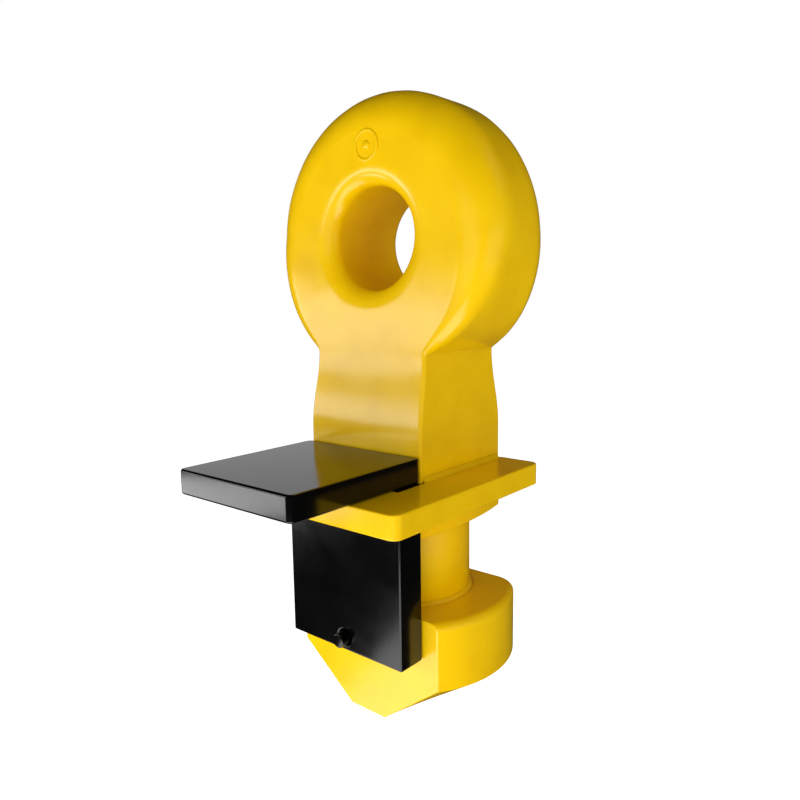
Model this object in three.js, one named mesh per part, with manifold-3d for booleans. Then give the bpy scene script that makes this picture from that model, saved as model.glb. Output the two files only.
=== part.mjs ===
// Container lifting lug: a forged eye over a hammerhead, with a flange plate between them and a
// sliding L-shaped lock plate that keeps the head from turning back in its slot.
// Millimetres, +Z up, origin at the middle of the lifting eye's bore. X runs across the lug, the
// bore runs along Y, and the lock plate is on the -Y side, which is the lug's front.
import * as THREE from 'three';
import { LoftGeometry } from 'three/addons/geometries/LoftGeometry.js';
import { mergeVertices } from 'three/addons/utils/BufferGeometryUtils.js';
import Module from 'manifold-3d';

// Lifting eye
const eyeRadius = 58;
const eyeThickness = 46;
const eyeRound = 15.5; // rounding of the eye's outer edges over its crown
const boreRadius = 20.5;
const lipWidth = 7.5; // rounding where the bore opens on each face, outwards from its wall
const lipDepth = 6; // the same rounding along the bore
const eyeHeight = 94; // from the flange's top to the bore's axis
const flareEnd = THREE.MathUtils.degToRad(95); // from straight down, where the flare joins the circle
const flarePower = 1.6; // how late the flare turns in to the crease
const roundEnd = THREE.MathUtils.degToRad(94); // from straight down, where the rounding is full
const roundPower = 0.7; // below 1, the rounding grows fast at first above the crease

// Neck
const neckWidth = 60;
const neckDepth = 57;
const neckEdge = 1.5; // rounding of its vertical edges
const neckStraight = 16; // height over which it keeps its full section
const creaseHeight = 48.5; // from the flange's top to the crease under the eye
const creaseWidth = 58;
const creaseDepth = 48.5;

// Flange plate
const flangeWidth = 100;
const flangeReach = 39; // in front of the neck
const flangeThickness = 9;
const flangeCorner = 4;
const plateEdge = 0.8; // softened edge of every flat plate

// Locating block, which fills the aperture of a container's corner casting
const blockHeight = 15;
const blockWidth = neckWidth + 1; // over the middle of its bowed sides
const blockSideRadius = 150; // of the bow
const blockBack = neckDepth / 2 + 8; // from the bore's axis to its back, behind the flange
const blockFrontCorner = 3;
const blockBackCorner = 6;

// Shank
const shankRadius = 27.5;
const grip = 47; // from the flange's underside to the head
const spigotRadius = 16; // both ends of the shank, inside the neck and inside the head
const neckSocket = 30; // how far the upper spigot stands into the neck
const headSocket = 26;
const headRecess = 0.5; // spot-faced seat for the shank and its weld in the head's top
const spigotChamfer = 1.5;

// Hammerhead
const headRadius = 47;
const headBevel = 3;
const headSide = 28; // height of the upright side, with the bevel
const wedgeHeight = 21.5;
const wedgeTip = 19; // width of the flat at the bottom
const tipChamfer = 1.5;
const headFrontCorner = 1.2;
const headBackCorner = 7;

// Welds
const neckWeldLeg = 1.6;
const shankWeldLeg = 1.5;
const lockWeldLeg = 1.4;
const weldHollow = 0.35; // how far a bead's face dips, as a share of its leg

// Lock plate
const lockWidth = 61;
const handleReach = 66;
const handleThickness = 9.5;
const handleCorner = 2.5;
const tongueThickness = 13;
const tongueDrop = 72.5; // from the flange's top to the tongue's foot
const pinRadius = 3;
const pinReach = 4; // in front of the tongue
const pinRise = 5.3; // from the tongue's foot to the pin's axis
const pinChamfer = 0.6;
const pinSink = 1; // countersink around the pin

// Clearances
const seatGap = 0.3; // between two pieces that touch
const slideGap = 0.4; // behind the tongue
const slotSide = 1; // beside the tongue in its slot
const slotFront = 2.2; // in front of the tongue, with room for its weld

// Levels and planes that several pieces share
const flangeTop = -eyeHeight;
const flangeUnder = flangeTop - flangeThickness;
const blockUnder = flangeUnder - blockHeight;
const headTop = flangeUnder - grip;
const shankSeat = headTop - headRecess;
const crease = flangeTop + creaseHeight;
const neckFront = -neckDepth / 2;
const neckBack = neckDepth / 2;
const tongueBack = neckFront - slideGap;
const tongueFront = tongueBack - tongueThickness;
const slotFrontEdge = tongueFront - slotFront;
const handleUnder = flangeTop + seatGap;
const tongueFoot = flangeTop - tongueDrop;
const pinHeight = tongueFoot + pinRise;

const wasm = await Module();
wasm.setup();

function solidFrom(geometry) {
  const bare = new THREE.BufferGeometry();
  bare.setAttribute('position', geometry.getAttribute('position'));
  bare.setIndex(geometry.index);
  const merged = mergeVertices(bare, 1e-4);
  return new wasm.Manifold(
    new wasm.Mesh({
      numProp: 3,
      vertProperties: new Float32Array(merged.attributes.position.array),
      triVerts: new Uint32Array(merged.index.array),
    }),
  );
}

function geometryFrom(solid) {
  const mesh = solid.getMesh();
  const geometry = new THREE.BufferGeometry();
  geometry.setAttribute('position', new THREE.BufferAttribute(mesh.vertProperties, 3));
  geometry.setIndex(new THREE.BufferAttribute(mesh.triVerts, 1));
  geometry.computeVertexNormals();
  return geometry;
}

// Points of an arc about a centre, both ends included, as [x, y] pairs. A second radius, along
// y, makes it part of an ellipse.
function arc(centreX, centreY, radius, from, to, steps, radiusY = radius) {
  const points = [];
  for (let i = 0; i <= steps; i++) {
    const angle = from + ((to - from) * i) / steps;
    points.push([centreX + radius * Math.cos(angle), centreY + radiusY * Math.sin(angle)]);
  }
  return points;
}

// Counterclockwise outline of a rectangle centred on the origin, with its own front (-Y) and
// back (+Y) corner radii.
function roundedRectangle(halfX, halfY, frontCorner, backCorner, steps) {
  const quarter = Math.PI / 2;
  const front = frontCorner;
  const back = backCorner;
  return [
    ...arc(halfX - front, -halfY + front, front, -quarter, 0, steps),
    ...arc(halfX - back, halfY - back, back, 0, quarter, steps),
    ...arc(-halfX + back, halfY - back, back, quarter, 2 * quarter, steps),
    ...arc(-halfX + front, -halfY + front, front, 2 * quarter, 3 * quarter, steps),
  ];
}

function shapeFrom(points) {
  return new THREE.Shape(points.map(([x, y]) => new THREE.Vector2(x, y)));
}

// A flat plate of the given outline between z = 0 and its thickness, with softened edges.
function plateGeometry(shape, thickness, edge) {
  const plate = new THREE.ExtrudeGeometry(shape, {
    depth: thickness - 2 * edge,
    bevelThickness: edge,
    bevelSize: edge,
    bevelOffset: -edge,
    bevelSegments: 2,
    curveSegments: 6,
  });
  return plate.translate(0, 0, edge);
}

// A round body about the Z axis from [radius, z] pairs, listed from the bottom up.
function turned(profile, segments) {
  const points = profile.map(([radius, z]) => new THREE.Vector2(radius, z));
  return new THREE.LatheGeometry(points, segments).rotateX(Math.PI / 2);
}

// Profile of a fillet bead in the corner of two faces: its legs lie along +a and +b, and its
// face dips towards the corner. Counterclockwise.
function beadProfile(leg) {
  const face = new THREE.QuadraticBezierCurve(
    new THREE.Vector2(leg, 0),
    new THREE.Vector2(leg * weldHollow, leg * weldHollow),
    new THREE.Vector2(0, leg),
  );
  return [[0, 0], ...face.getPoints(5).map((point) => [point.x, point.y])];
}

const creaseAngle = Math.atan2(creaseWidth / 2, -crease); // of the neck's corner, from straight down

// Distance from the bore's axis to the eye's outside, at an angle from straight down.
function eyeReachAt(angle) {
  const cornerReach = Math.hypot(creaseWidth / 2, crease);
  const flare = Math.max(0, (flareEnd - angle) / (flareEnd - creaseAngle));
  return eyeRadius - (eyeRadius - cornerReach) * flare ** flarePower;
}

// 0 at the crease, where the eye meets the neck's corners, and 1 where its own form is full.
function fullnessAt(angle) {
  const climb = (angle - creaseAngle) / (roundEnd - creaseAngle);
  return THREE.MathUtils.clamp(climb, 0, 1) ** roundPower;
}

// The eye's section, as [distance from the axis, y] pairs: its reach, the rounding of its outer
// edges, and half its thickness out there. Both faces are eyeThickness apart at the bore.
function eyeSection({ reach, round, outerHalf }) {
  const half = eyeThickness / 2;
  const quarter = Math.PI / 2;
  const lip = boreRadius + lipWidth;
  const edge = reach - round;
  return [
    ...arc(lip, lipDepth - half, lipWidth, 2 * quarter, 3 * quarter, 4, lipDepth),
    ...arc(edge, round - outerHalf, round, -quarter, 0, 6),
    ...arc(edge, outerHalf - round, round, 0, quarter, 6),
    ...arc(lip, half - lipDepth, lipWidth, quarter, 2 * quarter, 4, lipDepth),
  ];
}

// Sections from straight down, up one side to the crown, as the angle from straight down and
// the section's sizes. The foot between the neck's corners lies just inside the neck.
function eyeStations() {
  const footDepth = 1.5;
  const footReach = footDepth - crease;
  const footAngle = Math.atan2(creaseWidth / 2 - footDepth, footReach);
  const stations = [];
  for (let i = 0; i <= 3; i++) {
    const angle = (footAngle * i) / 3;
    const reach = footReach / Math.cos(angle);
    stations.push({ angle, reach, round: neckEdge, outerHalf: creaseDepth / 2 });
  }
  const climb = 28;
  const fullRound = Math.min(eyeRound, eyeThickness / 2 - 1);
  for (let i = 0; i <= climb; i++) {
    const angle = creaseAngle + ((Math.PI - creaseAngle) * i) / climb;
    const fullness = fullnessAt(angle);
    stations.push({
      angle,
      reach: eyeReachAt(angle),
      round: THREE.MathUtils.lerp(neckEdge, fullRound, fullness),
      outerHalf: THREE.MathUtils.lerp(creaseDepth, eyeThickness, fullness) / 2,
    });
  }
  return stations;
}

function eyeRingGeometry() {
  const rightSide = eyeStations();
  const leftSide = rightSide
    .slice(0, -1)
    .reverse()
    .map((station) => ({ ...station, angle: 2 * Math.PI - station.angle }));
  const sections = [...rightSide, ...leftSide].map((station) =>
    eyeSection(station).map(
      ([distance, y]) =>
        new THREE.Vector3(
          distance * Math.sin(station.angle),
          y,
          -distance * Math.cos(station.angle),
        ),
    ),
  );
  return new LoftGeometry(sections);
}

function levelSection(points, z) {
  return points.map(([x, y]) => new THREE.Vector3(x, y, z));
}

// The neck, from the flange's underside up to the crease, and a plug above it inside the eye.
function neckGeometry() {
  const base = flangeUnder;
  const straightTop = flangeTop + neckStraight;
  const plug = { height: 6, inset: 1 };
  const sectionAt = (halfX, halfY, z) =>
    levelSection(roundedRectangle(halfX, halfY, neckEdge, neckEdge, 3), z);
  const sections = [sectionAt(neckWidth / 2, neckDepth / 2, base)];
  const rise = 8;
  for (let i = 0; i <= rise; i++) {
    const share = THREE.MathUtils.smoothstep(i / rise, 0, 1);
    const halfX = THREE.MathUtils.lerp(neckWidth, creaseWidth, share) / 2;
    const halfY = THREE.MathUtils.lerp(neckDepth, creaseDepth, share) / 2;
    sections.push(sectionAt(halfX, halfY, THREE.MathUtils.lerp(straightTop, crease, i / rise)));
  }
  const plugX = creaseWidth / 2 - plug.inset;
  const plugY = creaseDepth / 2 - plug.inset;
  sections.push(sectionAt(plugX, plugY, crease));
  sections.push(sectionAt(plugX, plugY, crease + plug.height));
  return new LoftGeometry(sections, { capStart: true, capEnd: true });
}

// A round hole between two levels.
function roundHole(radius, low, high) {
  return solidFrom(turned([[0, low], [radius, low], [radius, high], [0, high]], 40));
}

function spigotHole(low, high) {
  return roundHole(spigotRadius + seatGap, low, high);
}

function eyeForging() {
  const socket = spigotHole(flangeUnder - 1, flangeUnder + neckSocket);
  return geometryFrom(solidFrom(eyeRingGeometry()).add(solidFrom(neckGeometry())).subtract(socket));
}

// The plate slides onto the neck from the front: its notch is open at the back, fits the neck,
// and becomes the slot for the tongue in front of it. The step between the two stays clear of
// whichever of neck and tongue is the wider.
function flangePlate() {
  const halfX = flangeWidth / 2;
  const front = neckFront - flangeReach;
  const window = neckWidth / 2 + seatGap;
  const slot = lockWidth / 2 + slotSide;
  const corner = flangeCorner;
  const slotBack = slot > window ? neckFront + slotSide : neckFront - seatGap;
  const outline = [
    ...arc(-halfX + corner, front + corner, corner, Math.PI, 1.5 * Math.PI, 5),
    ...arc(halfX - corner, front + corner, corner, 1.5 * Math.PI, 2 * Math.PI, 5),
    ...arc(halfX - corner, neckBack - corner, corner, 0, Math.PI / 2, 5),
    [window, neckBack],
    [window, slotBack],
    [slot, slotBack],
    [slot, slotFrontEdge],
    [-slot, slotFrontEdge],
    [-slot, slotBack],
    [-window, slotBack],
    [-window, neckBack],
    ...arc(-halfX + corner, neckBack - corner, corner, Math.PI / 2, Math.PI, 5),
  ];
  return plateGeometry(shapeFrom(outline), flangeThickness, plateEdge).translate(0, 0, flangeUnder);
}

// Counterclockwise outline of the locating block: flat at the front and the back, and its two
// sides bow out between the corners.
function blockOutline() {
  const front = blockFrontCorner;
  const back = blockBackCorner;
  const bowCentre = blockWidth / 2 - blockSideRadius;
  const sideAt = (y) => bowCentre + Math.sqrt(blockSideRadius ** 2 - y ** 2);
  const sideStart = neckFront + front;
  const sideEnd = blockBack - back;
  const turnAt = (y) => Math.asin(y / blockSideRadius);
  const bow = arc(bowCentre, 0, blockSideRadius, turnAt(sideStart), turnAt(sideEnd), 10);
  const rightHalf = [
    ...arc(sideAt(sideStart) - front, sideStart, front, -Math.PI / 2, 0, 4).slice(0, -1),
    ...bow,
    ...arc(sideAt(sideEnd) - back, sideEnd, back, 0, Math.PI / 2, 5).slice(1),
  ];
  const leftHalf = rightHalf.map(([x, y]) => [-x, y]).reverse();
  return [...rightHalf, ...leftHalf];
}

function locatingBlock() {
  const height = blockHeight - seatGap;
  const plate = plateGeometry(shapeFrom(blockOutline()), height, plateEdge);
  const block = plate.translate(0, 0, blockUnder);
  return geometryFrom(solidFrom(block).subtract(spigotHole(blockUnder - 1, flangeUnder + 1)));
}

function shank() {
  const foot = headTop - headSocket + seatGap;
  const shoulder = shankSeat + seatGap;
  const top = flangeUnder + neckSocket - seatGap;
  const underBlock = blockUnder - seatGap;
  return turned(
    [
      [0, foot],
      [spigotRadius - spigotChamfer, foot],
      [spigotRadius, foot + spigotChamfer],
      [spigotRadius, shoulder],
      [shankRadius, shoulder],
      [shankRadius, underBlock],
      [spigotRadius, underBlock],
      [spigotRadius, top - spigotChamfer],
      [spigotRadius - spigotChamfer, top],
      [0, top],
    ],
    48,
  );
}

// Centre and meeting angle of a corner of radius `corner` between the head's round side and its
// flat front or back.
function headCorner(radius, corner) {
  const y = neckDepth / 2 - corner;
  const x = Math.sqrt((radius - corner) ** 2 - y ** 2);
  return { x, y, angle: Math.atan2(y, x), corner };
}

// Counterclockwise plan of the head: a circle cut flat at the neck's front and back planes.
function headPlan(radius) {
  const front = headCorner(radius, headFrontCorner);
  const back = headCorner(radius, headBackCorner);
  const rightHalf = [
    ...arc(front.x, -front.y, front.corner, -Math.PI / 2, -front.angle, 2),
    ...arc(0, 0, radius, -front.angle, back.angle, 14).slice(1, -1),
    ...arc(back.x, back.y, back.corner, back.angle, Math.PI / 2, 5),
  ];
  const leftHalf = rightHalf.map(([x, y]) => [-x, y]).reverse();
  return [...rightHalf, ...leftHalf];
}

// Each level of the head has the plan's width times a share. The wedge narrows in X only.
function hammerhead() {
  const sideFoot = headTop - headSide;
  const tip = sideFoot - wedgeHeight;
  const frontHalf = Math.sqrt(headRadius ** 2 - neckFront ** 2);
  const tipShare = wedgeTip / 2 / frontHalf;
  const slope = (1 - tipShare) / wedgeHeight;
  const shareAt = (z) => 1 - slope * (sideFoot - z);
  const level = (radius, share, z) =>
    levelSection(headPlan(radius).map(([x, y]) => [x * share, y]), z);
  const edgeTop = tip + tipChamfer;
  const sections = [
    level(headRadius, tipShare, tip),
    level(headRadius, shareAt(edgeTop), edgeTop),
    level(headRadius, 1, sideFoot),
    level(headRadius, 1, headTop - headBevel),
    level(headRadius - headBevel, 1, headTop),
  ];
  const body = solidFrom(new LoftGeometry(sections, { capStart: true, capEnd: true }));
  const seatRadius = shankRadius + shankWeldLeg + 2 * seatGap;
  return geometryFrom(
    body
      .subtract(spigotHole(headTop - headSocket, headTop + 1))
      .subtract(roundHole(seatRadius, shankSeat, headTop + 1)),
  );
}

// A straight bead on top of the flange along the neck's side. side is 1 or -1 for the side in X.
function neckWeld(side) {
  const length = neckDepth - 2 * neckEdge;
  const points = beadProfile(neckWeldLeg).map(([a, b]) => [side * a, b]);
  const bead = new THREE.ExtrudeGeometry(shapeFrom(points), { depth: length, bevelEnabled: false });
  const face = side * (neckWidth / 2 + seatGap);
  return bead.rotateX(Math.PI / 2).translate(face, length / 2, flangeTop + seatGap);
}

// A ring round the shank's foot, ground flush with the head's flat front and back.
function shankWeld() {
  const profile = beadProfile(shankWeldLeg).map(([a, b]) => [
    shankRadius + seatGap + a,
    shankSeat + seatGap + b,
  ]);
  const ring = turned([...profile, profile[0]], 64);
  const width = 4 * shankRadius;
  const slab = new THREE.BoxGeometry(width, neckDepth, width).translate(0, 0, headTop);
  return geometryFrom(solidFrom(ring).intersect(solidFrom(slab)));
}

function lockHandle() {
  const half = handleReach / 2;
  const outline = roundedRectangle(lockWidth / 2, half, handleCorner, handleCorner, 4);
  const plate = plateGeometry(shapeFrom(outline), handleThickness, plateEdge);
  return plate.translate(0, tongueBack - half, handleUnder);
}

// A turned body laid along -Y, from [radius, distance in front of the tongue's back] pairs.
function turnedForward(profile, segments) {
  return turned(profile, segments)
    .rotateX(Math.PI / 2)
    .translate(0, tongueBack, pinHeight);
}

function lockTongue() {
  const height = handleUnder - seatGap - tongueFoot;
  const outline = roundedRectangle(lockWidth / 2, height / 2, plateEdge, plateEdge, 2);
  const plate = plateGeometry(shapeFrom(outline), tongueThickness, plateEdge)
    .rotateX(Math.PI / 2)
    .translate(0, tongueBack, tongueFoot + height / 2);
  const hole = pinRadius + seatGap;
  const drill = turnedForward(
    [
      [0, -1],
      [hole, -1],
      [hole, tongueThickness - pinSink],
      [hole + 2 * pinSink, tongueThickness + pinSink],
      [0, tongueThickness + pinSink],
    ],
    24,
  );
  return geometryFrom(solidFrom(plate).subtract(solidFrom(drill)));
}

// A bead across the front of the tongue, under the handle.
function lockWeld() {
  const length = lockWidth - 2 * handleCorner;
  const points = beadProfile(lockWeldLeg);
  const bead = new THREE.ExtrudeGeometry(shapeFrom(points), { depth: length, bevelEnabled: false });
  return bead
    .rotateX(Math.PI / 2)
    .rotateZ(Math.PI / 2)
    .rotateX(Math.PI)
    .translate(-length / 2, tongueFront - seatGap, handleUnder - seatGap);
}

function stopPin() {
  const end = tongueThickness + pinReach;
  return turnedForward(
    [
      [0, seatGap],
      [pinRadius - pinChamfer, seatGap],
      [pinRadius, seatGap + pinChamfer],
      [pinRadius, end - pinChamfer],
      [pinRadius - pinChamfer, end],
      [0, end],
    ],
    24,
  );
}

const yellowPaint = { color: 0xf2c410, roughness: 0.3, metalness: 0 };
const blackPaint = { color: 0x121212, roughness: 0.3, metalness: 0 };

function addPiece(group, name, geometry, finish) {
  const mesh = new THREE.Mesh(geometry, new THREE.MeshStandardMaterial(finish));
  mesh.name = name;
  group.add(mesh);
}

const lug = new THREE.Group();
addPiece(lug, 'eye_forging', eyeForging(), yellowPaint);
addPiece(lug, 'flange_plate', flangePlate(), yellowPaint);
addPiece(lug, 'locating_block', locatingBlock(), yellowPaint);
addPiece(lug, 'shank', shank(), yellowPaint);
addPiece(lug, 'hammerhead', hammerhead(), yellowPaint);
addPiece(lug, 'neck_weld_right', neckWeld(1), yellowPaint);
addPiece(lug, 'neck_weld_left', neckWeld(-1), yellowPaint);
addPiece(lug, 'shank_weld', shankWeld(), yellowPaint);

const lock = new THREE.Group();
addPiece(lock, 'lock_handle', lockHandle(), blackPaint);
addPiece(lock, 'lock_tongue', lockTongue(), blackPaint);
addPiece(lock, 'lock_weld', lockWeld(), blackPaint);
addPiece(lock, 'stop_pin', stopPin(), blackPaint);

const part = new THREE.Group();
part.add(lug, lock);

export default part;
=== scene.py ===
import math

import bmesh
import bpy
from mathutils import Matrix, Vector


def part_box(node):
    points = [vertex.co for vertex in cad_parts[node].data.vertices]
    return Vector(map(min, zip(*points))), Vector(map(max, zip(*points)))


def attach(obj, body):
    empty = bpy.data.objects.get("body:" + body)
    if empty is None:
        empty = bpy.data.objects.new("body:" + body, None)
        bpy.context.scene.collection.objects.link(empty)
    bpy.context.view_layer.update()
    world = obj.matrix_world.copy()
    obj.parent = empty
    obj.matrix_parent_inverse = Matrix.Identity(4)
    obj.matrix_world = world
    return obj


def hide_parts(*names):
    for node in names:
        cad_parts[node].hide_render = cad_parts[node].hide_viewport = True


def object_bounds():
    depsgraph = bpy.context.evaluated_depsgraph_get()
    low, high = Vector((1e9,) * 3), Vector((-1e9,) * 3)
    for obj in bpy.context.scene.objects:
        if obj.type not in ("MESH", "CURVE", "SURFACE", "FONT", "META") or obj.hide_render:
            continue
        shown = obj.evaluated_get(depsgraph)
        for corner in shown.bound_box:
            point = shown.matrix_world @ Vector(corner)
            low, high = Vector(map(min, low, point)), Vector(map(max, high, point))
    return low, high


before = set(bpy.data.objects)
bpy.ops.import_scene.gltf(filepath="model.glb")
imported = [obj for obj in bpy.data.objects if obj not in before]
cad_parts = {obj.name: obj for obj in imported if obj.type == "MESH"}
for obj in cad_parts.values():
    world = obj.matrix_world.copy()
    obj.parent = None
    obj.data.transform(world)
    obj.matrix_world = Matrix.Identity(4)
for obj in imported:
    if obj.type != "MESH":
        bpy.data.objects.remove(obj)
cadLow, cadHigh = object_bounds()
mm = 0.001  # sizes below are in millimetres, meshes are in metres
mergeGap = 0.002  # points closer than this become one
evenWeight = 60  # how strongly large flat faces lead the shading of their edges
edgeSteps = 4  # faces across a softened edge
noiseLow, noiseHigh = 0.3, 0.7  # nearly all of a noise field lies between these
print("frame loaded:", len(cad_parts), "solids")


def linearColour(hexText):
    channels = [int(hexText[i:i + 2], 16) / 255 for i in (0, 2, 4)]
    return [c / 12.92 if c <= 0.04045 else ((c + 0.055) / 1.055) ** 2.4 for c in channels] + [1.0]


def boxOf(node):  # a solid's lowest and highest corner, in millimetres
    low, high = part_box(node)
    return low / mm, high / mm


def addNode(tree, kind, settings, links):
    node = tree.nodes.new(kind)
    for name, value in settings.items():
        setattr(node, name, value)
    for socket, source in links.items():
        if isinstance(source, bpy.types.Node):
            tree.links.new(source.outputs[0], node.inputs[socket])
        elif isinstance(source, bpy.types.NodeSocket):
            tree.links.new(source, node.inputs[socket])
        else:
            node.inputs[socket].default_value = source
    return node


def smoothStep(value, low, high):  # 0 to 1 between the two, level at both ends
    share = min(1, max(0, (value - low) / (high - low)))
    return share * share * (3 - 2 * share)


def mix(a, b, share):
    return a + (b - a) * share


def arcPoints(centreX, centreY, radius, start, end, steps):  # start and end in degrees
    points = []
    for i in range(steps + 1):
        angle = math.radians(start + (end - start) * i / steps)
        points.append((centreX + radius * math.cos(angle), centreY + radius * math.sin(angle)))
    return points


def meshFrom(name, points, faces):
    mesh = bpy.data.meshes.new(name)
    mesh.from_pydata([[c * mm for c in p] for p in points], [], faces)
    mesh.update()
    return mesh


def closeUp(mesh):  # merged, closed, facing out
    work = bmesh.new()
    work.from_mesh(mesh)
    bmesh.ops.remove_doubles(work, verts=work.verts, dist=mergeGap * mm)
    bmesh.ops.dissolve_degenerate(work, edges=work.edges, dist=mergeGap * mm)
    bmesh.ops.recalc_face_normals(work, faces=work.faces)
    work.to_mesh(mesh)
    work.free()
    mesh.shade_smooth()
    return mesh


def pieceFrom(name, mesh, material=None):
    piece = bpy.data.objects.new(name, mesh)
    bpy.context.scene.collection.objects.link(piece)
    if material:
        mesh.materials.clear()
        mesh.materials.append(material)
    return piece


def settle(piece):  # the modifiers' result becomes the piece's own plain mesh
    bpy.context.view_layer.update()
    evaluated = piece.evaluated_get(bpy.context.evaluated_depsgraph_get())
    mesh = bpy.data.meshes.new_from_object(
        evaluated, preserve_all_data_layers=True, depsgraph=bpy.context.evaluated_depsgraph_get())
    piece.modifiers.clear()
    piece.data = mesh


def softenEdges(piece, width, smoothAngle=28):  # degrees that still count as smooth
    bevel = piece.modifiers.new("softenedEdges", "BEVEL")
    bevel.width = width * mm
    bevel.segments = edgeSteps
    bevel.limit_method = "ANGLE"
    bevel.angle_limit = math.radians(smoothAngle)
    bevel.use_clamp_overlap = True


def evenShading(piece):
    weighted = piece.modifiers.new("evenShading", "WEIGHTED_NORMAL")
    weighted.weight = evenWeight
    weighted.keep_sharp = False


def cutWith(piece, cutters):
    for cutter in cutters:
        cut = piece.modifiers.new("cut", "BOOLEAN")
        cut.operation = "DIFFERENCE"
        cut.solver = "EXACT"
        cut.object = cutter
    settle(piece)
    for cutter in cutters:
        bpy.data.objects.remove(cutter)


def join(piece, body, node):
    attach(piece, body)
    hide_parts(node)


def prism(name, outline, low, high):  # a plate of an outline, between two heights
    count = len(outline)
    points = [(x, y, low) for x, y in outline] + [(x, y, high) for x, y in outline]
    faces = [list(range(count))[::-1], list(range(count, 2 * count))]
    for i in range(count):
        j = (i + 1) % count
        faces.append([i, j, count + j, count + i])
    return closeUp(meshFrom(name, points, faces))


def turned(name, profile, segments):  # a closed round body about Z, from (radius, z) pairs
    points = []
    for radius, z in profile:
        for k in range(segments):
            angle = 2 * math.pi * k / segments
            points.append((radius * math.cos(angle), radius * math.sin(angle), z))
    faces = []
    for i in range(len(profile) - 1):
        for k in range(segments):
            n = (k + 1) % segments
            faces.append([i * segments + k, i * segments + n,
                          (i + 1) * segments + n, (i + 1) * segments + k])
    return closeUp(meshFrom(name, points, faces))


def laidForward(mesh, x, z):  # a body turned about Z is laid along -Y at this place
    forward = Matrix.Rotation(math.pi / 2, 4, "X")
    mesh.transform(Matrix.Translation(Vector((x, 0, z)) * mm) @ forward)
    return mesh


def addShells(mesh, shells):  # closed bodies that become part of the mesh
    work = bmesh.new()
    work.from_mesh(mesh)
    for shell in shells:
        work.from_mesh(shell)
        bpy.data.meshes.remove(shell)
    for face in work.faces:
        face.material_index = 0
    work.to_mesh(mesh)
    work.free()
    mesh.shade_smooth()


def pointCloud(name, points, rules):  # bare points that carry named values, read by a node tree
    mesh = meshFrom(name, points, [])
    for rule, values in rules.items():
        isVector = hasattr(values[0], "__len__")
        layer = mesh.attributes.new(rule, "FLOAT_VECTOR" if isVector else "FLOAT", "POINT")
        flat = [c for v in values for c in v] if isVector else values
        layer.data.foreach_set("vector" if isVector else "value", flat)
    piece = bpy.data.objects.new(name, mesh)
    bpy.context.scene.collection.objects.link(piece)
    return piece


def newTree(name, inputs):
    tree = bpy.data.node_groups.new(name, "GeometryNodeTree")
    tree.interface.new_socket("Geometry", in_out="INPUT", socket_type="NodeSocketGeometry")
    for label, (kind, value) in inputs.items():
        socket = tree.interface.new_socket(label, in_out="INPUT", socket_type=kind)
        if value is not None:
            socket.default_value = value
    tree.interface.new_socket("Geometry", in_out="OUTPUT", socket_type="NodeSocketGeometry")
    return tree


def runTree(piece, tree, values):
    modifier = piece.modifiers.new(tree.name, "NODES")
    modifier.node_group = tree
    for item in tree.interface.items_tree:
        if item.in_out == "INPUT" and item.name in values:
            modifier[item.identifier] = values[item.name]
    settle(piece)


yellowEnamel = {
    "deep": "EDBB00", "body": "F5C502", "light": "F8CA04",
    "deepAt": 0.25, "bodyAt": 0.5, "lightAt": 0.78,  # where the clouds reach each shade
    "cloudSize": 20.0, "smearSize": 14.0, "roughLow": 0.16, "roughHigh": 0.20,
    "grainSize": 7.0, "grainDepth": 0.03,  # the blasted steel below, softened by the coat
    "peelSize": 1.6, "peelDepth": 0.010,
    "nibSize": 2.4, "nibDepth": 0.015, "nibEdge": 0.12, "nibTop": 0.02,  # dust in the coat
}
enamelIor = 1.5


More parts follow.
